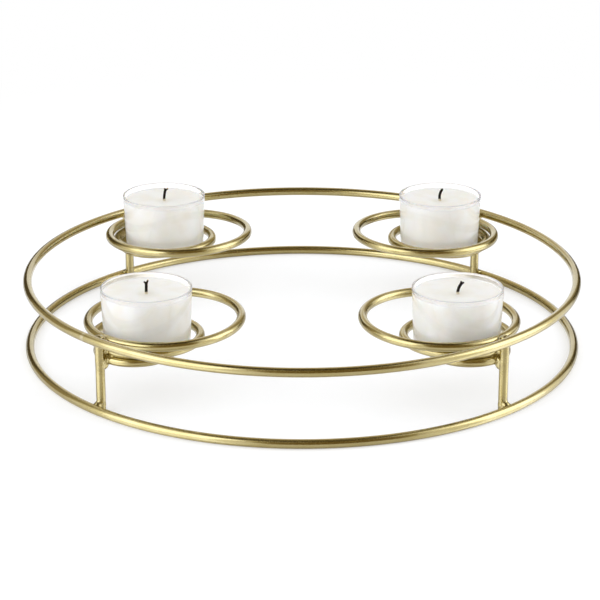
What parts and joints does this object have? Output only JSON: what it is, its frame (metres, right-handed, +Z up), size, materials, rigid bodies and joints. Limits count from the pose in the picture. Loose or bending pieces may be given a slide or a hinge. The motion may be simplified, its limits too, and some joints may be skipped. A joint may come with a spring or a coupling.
{
  "type": "advent candle holder",
  "caption": "Free-standing wire candle holder: stacked round hoops joined by posts, with ring seats that carry loose tealights.",
  "frame": {"origin": "centre of the lower hoop on the surface that the holder stands on", "axes": "+Z up along the hoops' axis, +X to the right and -Y to the front as the picture shows it"},
  "size_m": [0.25, 0.25, 0.0524],
  "materials": {
    "gold_wire": "satin gold",
    "clear_cup": "clear gloss",
    "wax": "ivory wax",
    "wick": "charred cotton",
    "sustainer": "tin plated"
  },
  "bodies": {
    "frame": {"lower_hoop": "gold_wire", "upper_hoop": "gold_wire", "foot_welds": "gold_wire", "head_welds": "gold_wire", "post_front_left": "gold_wire", "outer_loop_front_left": "gold_wire", "cup_ring_front_left": "gold_wire", "support_ring_front_left": "gold_wire", "seat_weld_front_left": "gold_wire", "post_front_right": "gold_wire", "outer_loop_front_right": "gold_wire", "cup_ring_front_right": "gold_wire", "support_ring_front_right": "gold_wire", "seat_weld_front_right": "gold_wire", "post_back_left": "gold_wire", "outer_loop_back_left": "gold_wire", "cup_ring_back_left": "gold_wire", "support_ring_back_left": "gold_wire", "seat_weld_back_left": "gold_wire", "post_back_right": "gold_wire", "outer_loop_back_right": "gold_wire", "cup_ring_back_right": "gold_wire", "support_ring_back_right": "gold_wire", "seat_weld_back_right": "gold_wire"},
    "tealight_front_left": {"tealight_cup_front_left": "clear_cup", "wax_front_left": "wax", "wick_front_left": "wick", "wick_sustainer_front_left": "sustainer"},
    "tealight_front_right": {"tealight_cup_front_right": "clear_cup", "wax_front_right": "wax", "wick_front_right": "wick", "wick_sustainer_front_right": "sustainer"},
    "tealight_back_left": {"tealight_cup_back_left": "clear_cup", "wax_back_left": "wax", "wick_back_left": "wick", "wick_sustainer_back_left": "sustainer"},
    "tealight_back_right": {"tealight_cup_back_right": "clear_cup", "wax_back_right": "wax", "wick_back_right": "wick", "wick_sustainer_back_right": "sustainer"}
  },
  "joints": [
    {"name": "lift_front_left", "type": "slide", "parent": "frame", "child": "tealight_front_left", "axis": [0, 0, 1], "range_m": [0, 0.04]},
    {"name": "lift_front_right", "type": "slide", "parent": "frame", "child": "tealight_front_right", "axis": [0, 0, 1], "range_m": [0, 0.04]},
    {"name": "lift_back_left", "type": "slide", "parent": "frame", "child": "tealight_back_left", "axis": [0, 0, 1], "range_m": [0, 0.04]},
    {"name": "lift_back_right", "type": "slide", "parent": "frame", "child": "tealight_back_right", "axis": [0, 0, 1], "range_m": [0, 0.04]}
  ]
}
